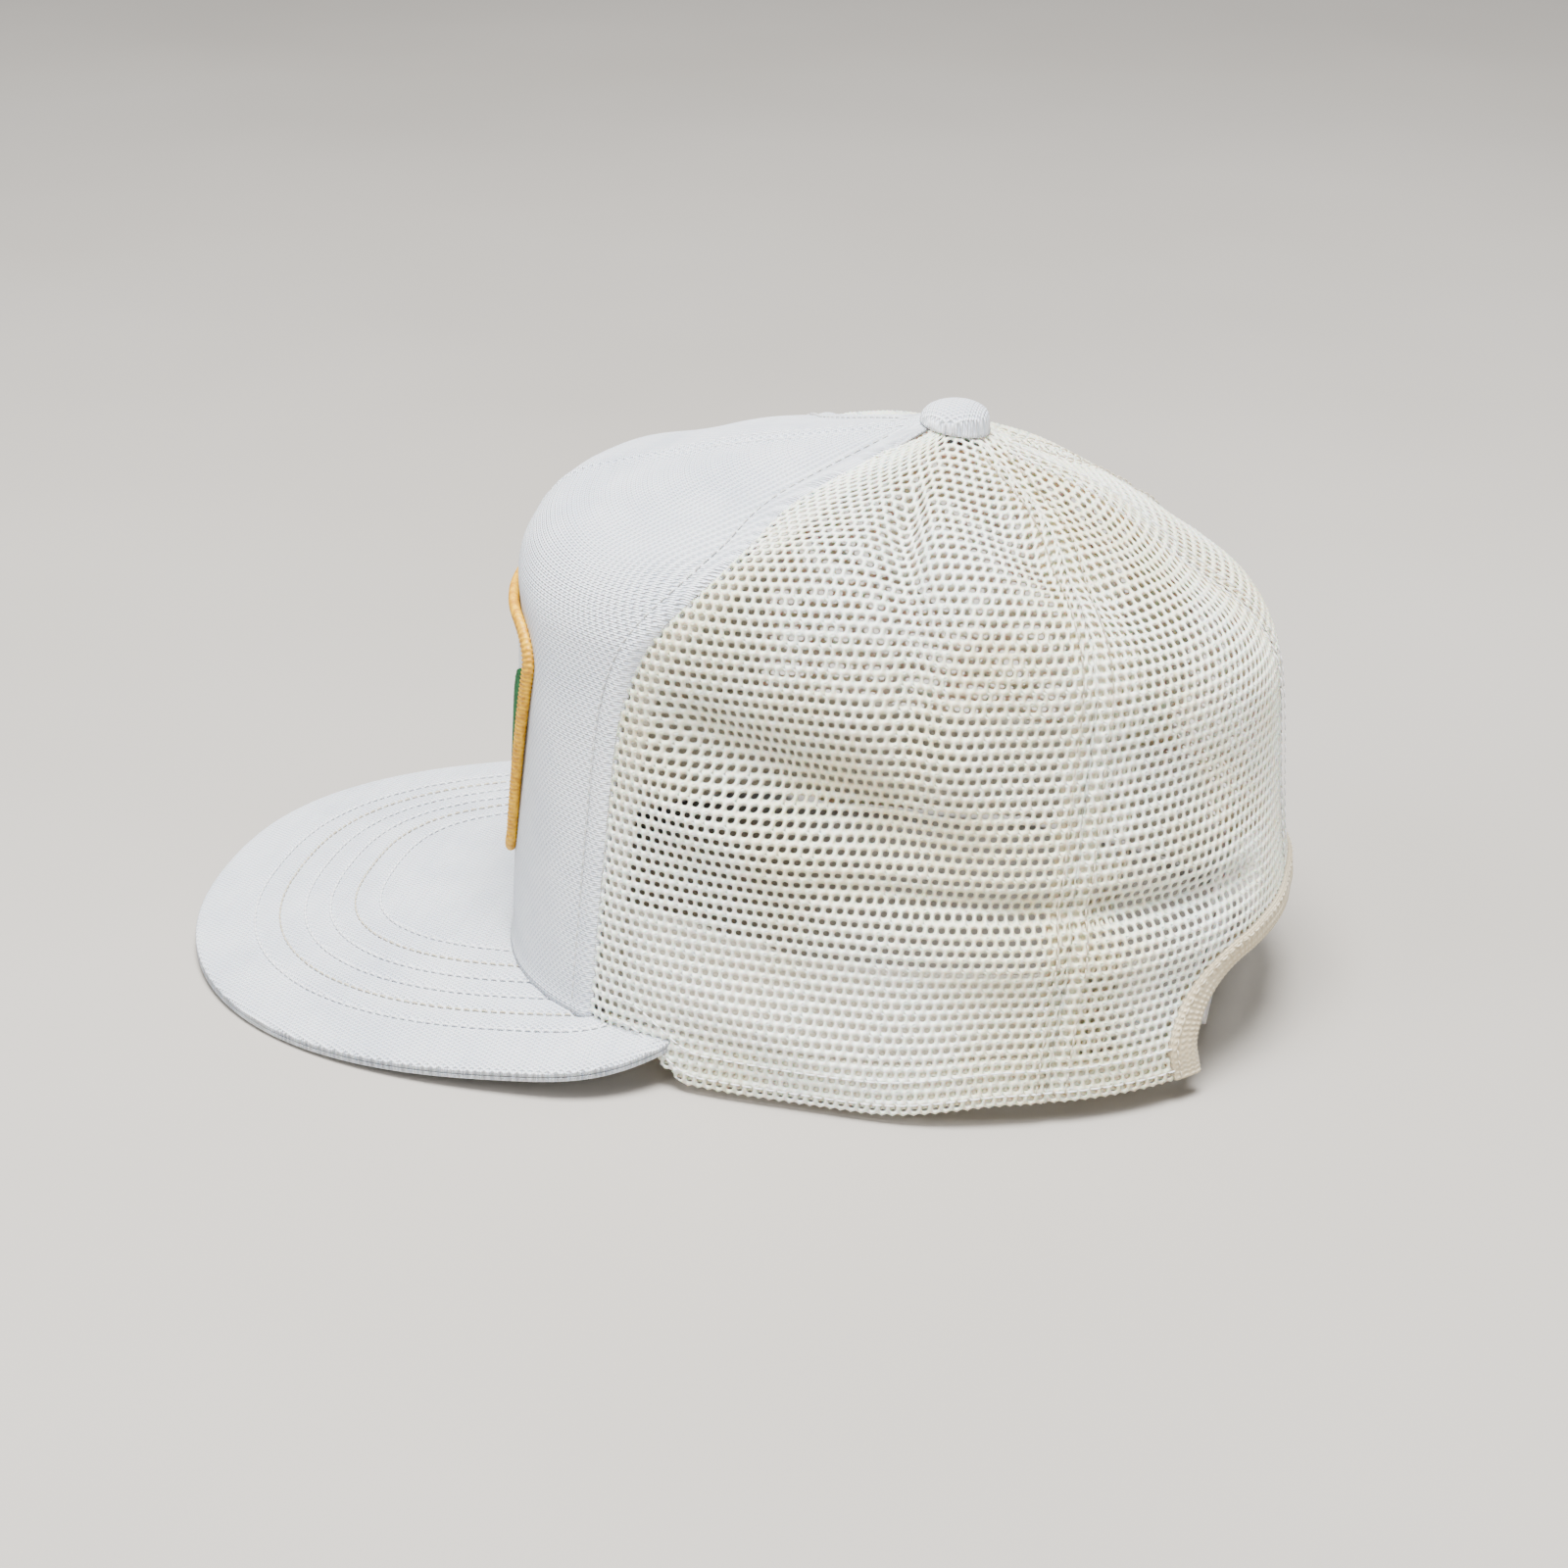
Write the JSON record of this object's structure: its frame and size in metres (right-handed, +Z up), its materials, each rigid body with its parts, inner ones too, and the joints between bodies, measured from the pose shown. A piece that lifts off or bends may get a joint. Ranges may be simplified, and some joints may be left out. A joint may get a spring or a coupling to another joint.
{
  "type": "trucker cap",
  "caption": "Trucker cap with a foam-backed knit front, see-through mesh sides and back, a flat stitched visor, a corded-edge patch and a hinged snap strap.",
  "frame": {"origin": "centre of the head opening, on the plane that the cap rests on", "axes": "+Z up, -Y towards the visor's tip, +X towards the wearer's left"},
  "size_m": [0.1774, 0.2751, 0.1494],
  "materials": {
    "white_knit": "matte",
    "foam": "matte",
    "mesh": "satin",
    "folded_mesh": "satin",
    "seam_tape": "matte",
    "binding": "matte",
    "sweatband": "matte",
    "visor_board": "matte",
    "steel": "satin",
    "twill": "matte",
    "gold_thread": "satin",
    "green_thread": "satin",
    "snap_plastic": "gloss"
  },
  "bodies": {
    "cap": {"front_panel_left": "white_knit", "front_panel_right": "white_knit", "front_foam_left": "foam", "front_foam_right": "foam", "side_mesh_left": "mesh", "side_mesh_right": "mesh", "rear_mesh_left": "mesh", "rear_mesh_right": "mesh", "front_centre_tape": "seam_tape", "front_side_tape_left": "seam_tape", "front_side_tape_right": "seam_tape", "side_rear_tape_left": "folded_mesh", "side_rear_tape_right": "folded_mesh", "rear_centre_tape": "folded_mesh", "hem_tape_left": "folded_mesh", "hem_tape_right": "folded_mesh", "back_opening_binding": "binding", "sweatband": "sweatband", "visor_board": "visor_board", "visor_top_cover": "white_knit", "visor_under_cover": "white_knit", "button_shell": "white_knit", "button_rivet": "steel", "patch_ground": "twill", "patch_border": "gold_thread", "patch_hills": "green_thread", "patch_sun": "gold_thread", "strap_root_left": "snap_plastic", "strap_root_right": "snap_plastic"},
    "strap_with_holes": {"snap_strap_holes": "snap_plastic"},
    "strap_with_pegs": {"snap_strap_pegs": "snap_plastic"}
  },
  "joints": [
    {"name": "strap_with_holes_swing", "type": "hinge", "parent": "cap", "child": "strap_with_holes", "pos_m": [-0.04622, 0.07824, 0.011], "axis": [0, 0, 1], "range_deg": [0, 100]},
    {"name": "strap_with_pegs_swing", "type": "hinge", "parent": "cap", "child": "strap_with_pegs", "pos_m": [0.04622, 0.07624, 0.011], "axis": [0, 0, 1], "range_deg": [0, 60]}
  ]
}
